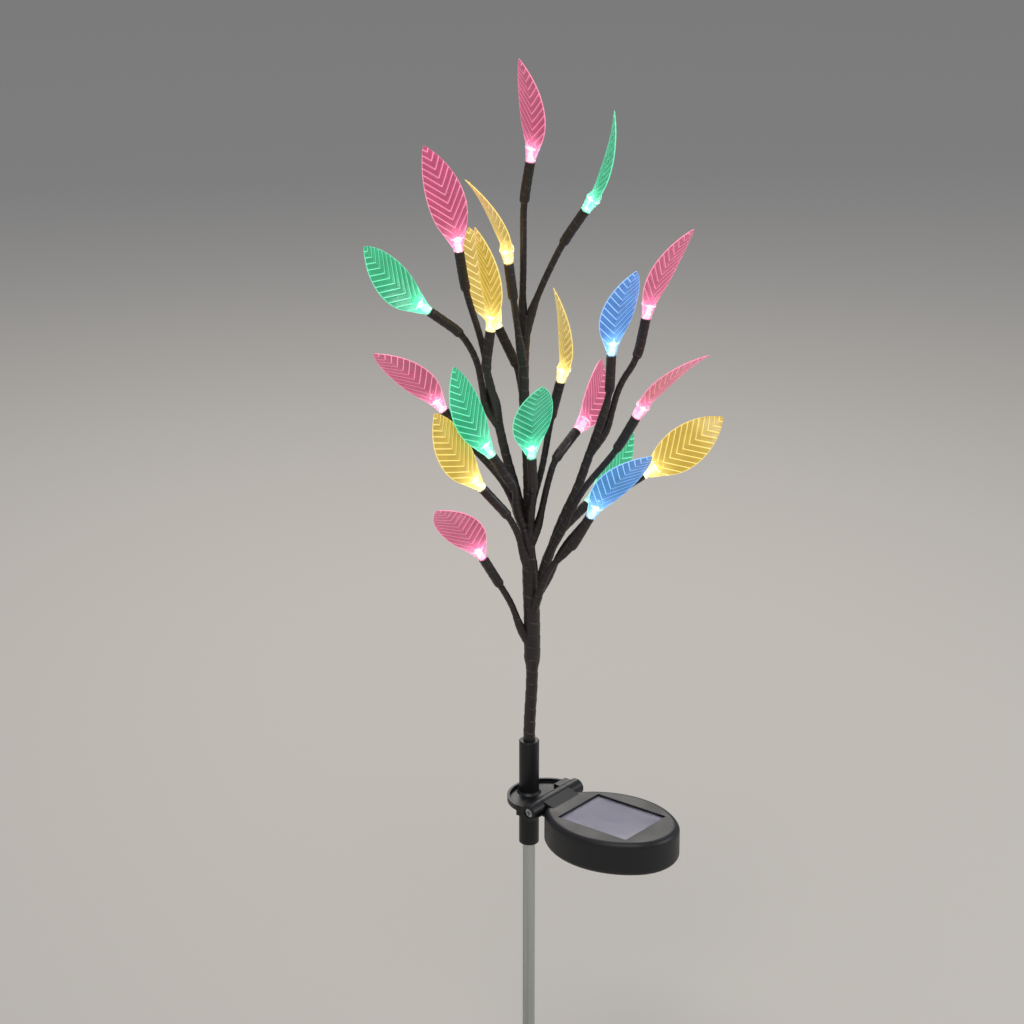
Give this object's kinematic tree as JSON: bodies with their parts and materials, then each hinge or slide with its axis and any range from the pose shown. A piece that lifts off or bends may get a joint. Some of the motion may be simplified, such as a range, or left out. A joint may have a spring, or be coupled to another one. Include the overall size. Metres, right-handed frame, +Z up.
{
  "type": "solar branch light",
  "caption": "Solar garden stake light: translucent lit leaves on bendable wrapped twigs, above a tilting oval solar head on a clear ground stake.",
  "frame": {"origin": "on the stake's axis at ground level", "axes": "+Z up along the stake, +X from the stake to the solar head, +Y along the head's hinge"},
  "size_m": [0.1815, 0.195, 0.7468],
  "materials": {
    "clear_rod": "clear, glossy",
    "black_plastic": "fine satin",
    "grey_plastic": "fine satin",
    "steel_screw": "bright plated",
    "solar_cell": "smooth",
    "glaze": "clear",
    "battery_can": "sleeved",
    "contact_metal": "plated",
    "board": "varnished",
    "lead": "insulated",
    "button_rubber": "matt",
    "wrap": "tape wrapped",
    "leaf_pink": "translucent",
    "leaf_green": "translucent",
    "leaf_yellow": "translucent",
    "leaf_blue": "translucent",
    "leaf_warm": "translucent"
  },
  "bodies": {
    "stake": {"ground_stake": "clear_rod"},
    "bracket": {"bracket": "black_plastic", "hinge_screw": "steel_screw", "hinge_nut": "steel_screw", "trunk": "wrap", "right_bough": "wrap", "left_bough": "wrap", "lower_left_bough": "wrap", "fork_wrap": "wrap"},
    "head": {"panel_top_cover": "grey_plastic", "panel_bottom_cover": "black_plastic", "solar_cell": "solar_cell", "cell_glaze": "glaze", "battery": "battery_can", "battery_contacts": "contact_metal", "circuit_board": "board", "cell_leads": "lead", "switch_body": "black_plastic", "housing_screws": "steel_screw"},
    "button": {"power_button": "button_rubber"},
    "twig_01": {"twig_01": "wrap", "leaf_01": "leaf_pink"},
    "twig_02": {"twig_02": "wrap", "leaf_02": "leaf_green"},
    "twig_03": {"twig_03": "wrap", "leaf_03": "leaf_pink"},
    "twig_04": {"twig_04": "wrap", "leaf_04": "leaf_yellow"},
    "twig_05": {"twig_05": "wrap", "leaf_05": "leaf_yellow"},
    "twig_06": {"twig_06": "wrap", "leaf_06": "leaf_green"},
    "twig_07": {"twig_07": "wrap", "leaf_07": "leaf_yellow"},
    "twig_08": {"twig_08": "wrap", "leaf_08": "leaf_blue"},
    "twig_09": {"twig_09": "wrap", "leaf_09": "leaf_pink"},
    "twig_10": {"twig_10": "wrap", "leaf_10": "leaf_pink"},
    "twig_11": {"twig_11": "wrap", "leaf_11": "leaf_green"},
    "twig_12": {"twig_12": "wrap", "leaf_12": "leaf_yellow"},
    "twig_13": {"twig_13": "wrap", "leaf_13": "leaf_green"},
    "twig_14": {"twig_14": "wrap", "leaf_14": "leaf_pink"},
    "twig_15": {"twig_15": "wrap", "leaf_15": "leaf_pink"},
    "twig_16": {"twig_16": "wrap", "leaf_16": "leaf_yellow"},
    "twig_17": {"twig_17": "wrap", "leaf_17": "leaf_green"},
    "twig_18": {"twig_18": "wrap", "leaf_18": "leaf_blue"},
    "twig_19": {"twig_19": "wrap", "leaf_19": "leaf_pink"},
    "twig_20": {"twig_20": "wrap", "leaf_20": "leaf_warm"}
  },
  "joints": [
    {"name": "bracket_turn", "type": "hinge", "parent": "stake", "child": "bracket", "pos_m": [0, 0, 0.11], "axis": [0, 0, 1], "continuous": true},
    {"name": "panel_tilt", "type": "hinge", "parent": "bracket", "child": "head", "pos_m": [0.0188, 0, 0.1452], "axis": [0, 1, 0], "range_deg": [-80, 40]},
    {"name": "power_button", "type": "slide", "parent": "head", "child": "button", "axis": [0, 0, 1], "range_m": [0, 0.0015], "stiffness_N_per_m": 200, "springref_m": -0.002},
    {"name": "twig_01_bend", "type": "hinge", "parent": "bracket", "child": "twig_01", "pos_m": [-0.00497, -0.00115, 0.4679], "axis": [0.4062, -0.9138, 0], "range_deg": [-10, 25]},
    {"name": "twig_02_bend", "type": "hinge", "parent": "bracket", "child": "twig_02", "pos_m": [0.00032, 0.0012, 0.46749], "axis": [-0.4062, 0.9138, 0], "range_deg": [-10, 10]},
    {"name": "twig_03_bend", "type": "hinge", "parent": "bracket", "child": "twig_03", "pos_m": [-0.02184, -0.01198, 0.41864], "axis": [-0.9273, 0.3566, -0.1136], "range_deg": [-5, 20]},
    {"name": "twig_04_bend", "type": "hinge", "parent": "bracket", "child": "twig_04", "pos_m": [-0.00238, -0.00644, 0.44608], "axis": [0.972, 0.2244, -0.0696], "range_deg": [-5, 5]},
    {"name": "twig_05_bend", "type": "hinge", "parent": "bracket", "child": "twig_05", "pos_m": [-0.01572, -0.01378, 0.4104], "axis": [0.5187, 0.8301, 0.2044], "range_deg": [-5, 25]},
    {"name": "twig_06_bend", "type": "hinge", "parent": "bracket", "child": "twig_06", "pos_m": [-0.02336, -0.01442, 0.40583], "axis": [0.7426, -0.6686, 0.0386], "range_deg": [0, 20]},
    {"name": "twig_07_bend", "type": "hinge", "parent": "bracket", "child": "twig_07", "pos_m": [-0.00393, 0.00583, 0.33586], "axis": [-0.8828, -0.4694, -0.0175], "range_deg": [-7, 25]},
    {"name": "twig_08_bend", "type": "hinge", "parent": "bracket", "child": "twig_08", "pos_m": [0.02807, 0.03843, 0.39659], "axis": [0.7936, -0.6036, -0.0761], "range_deg": [0, 15]},
    {"name": "twig_09_bend", "type": "hinge", "parent": "bracket", "child": "twig_09", "pos_m": [0.02848, 0.04123, 0.38552], "axis": [-0.8436, 0.5272, 0.1021], "range_deg": [0, 25]},
    {"name": "twig_10_bend", "type": "hinge", "parent": "bracket", "child": "twig_10", "pos_m": [-0.00619, -0.01141, 0.35254], "axis": [-0.3141, -0.8934, -0.3213], "range_deg": [-10, 25]},
    {"name": "twig_11_bend", "type": "hinge", "parent": "bracket", "child": "twig_11", "pos_m": [-0.00101, -0.01292, 0.34368], "axis": [0.7421, 0.5798, 0.3363], "range_deg": [0, 25]},
    {"name": "twig_12_bend", "type": "hinge", "parent": "bracket", "child": "twig_12", "pos_m": [-0.00055, -0.00538, 0.30996], "axis": [0.9989, -0.0349, 0.0302], "range_deg": [0, 15]},
    {"name": "twig_13_bend", "type": "hinge", "parent": "bracket", "child": "twig_13", "pos_m": [0.00329, -0.00346, 0.33817], "axis": [0.6691, 0.7431, 0.0084], "range_deg": [-10, 25]},
    {"name": "twig_14_bend", "type": "hinge", "parent": "bracket", "child": "twig_14", "pos_m": [0.0035, 0.0046, 0.32816], "axis": [-0.6819, 0.7313, -0.0163], "range_deg": [-6, 5]},
    {"name": "twig_15_bend", "type": "hinge", "parent": "bracket", "child": "twig_15", "pos_m": [0.01747, 0.01194, 0.32777], "axis": [0.4999, 0.8, -0.3317], "range_deg": [-10, 20]},
    {"name": "twig_16_bend", "type": "hinge", "parent": "bracket", "child": "twig_16", "pos_m": [0.00698, 0.0109, 0.29241], "axis": [-0.9207, 0.372, 0.1184], "range_deg": [-6, 25]},
    {"name": "twig_17_bend", "type": "hinge", "parent": "bracket", "child": "twig_17", "pos_m": [0.00441, 0.01314, 0.30562], "axis": [-0.7447, -0.5818, 0.3271], "range_deg": [-8, 25]},
    {"name": "twig_18_bend", "type": "hinge", "parent": "bracket", "child": "twig_18", "pos_m": [0.00792, -0.0021, 0.28224], "axis": [0.3745, 0.9269, 0.0243], "range_deg": [-6, 25]},
    {"name": "twig_19_bend", "type": "hinge", "parent": "bracket", "child": "twig_19", "pos_m": [-0.00334, -0.0052, 0.26], "axis": [0.7986, -0.6018, 0], "range_deg": [-10, 25]},
    {"name": "twig_20_bend", "type": "hinge", "parent": "bracket", "child": "twig_20", "pos_m": [-0.00768, 0.00415, 0.408], "axis": [-0.7863, -0.6143, -0.0656], "range_deg": [-10, 25]}
  ]
}
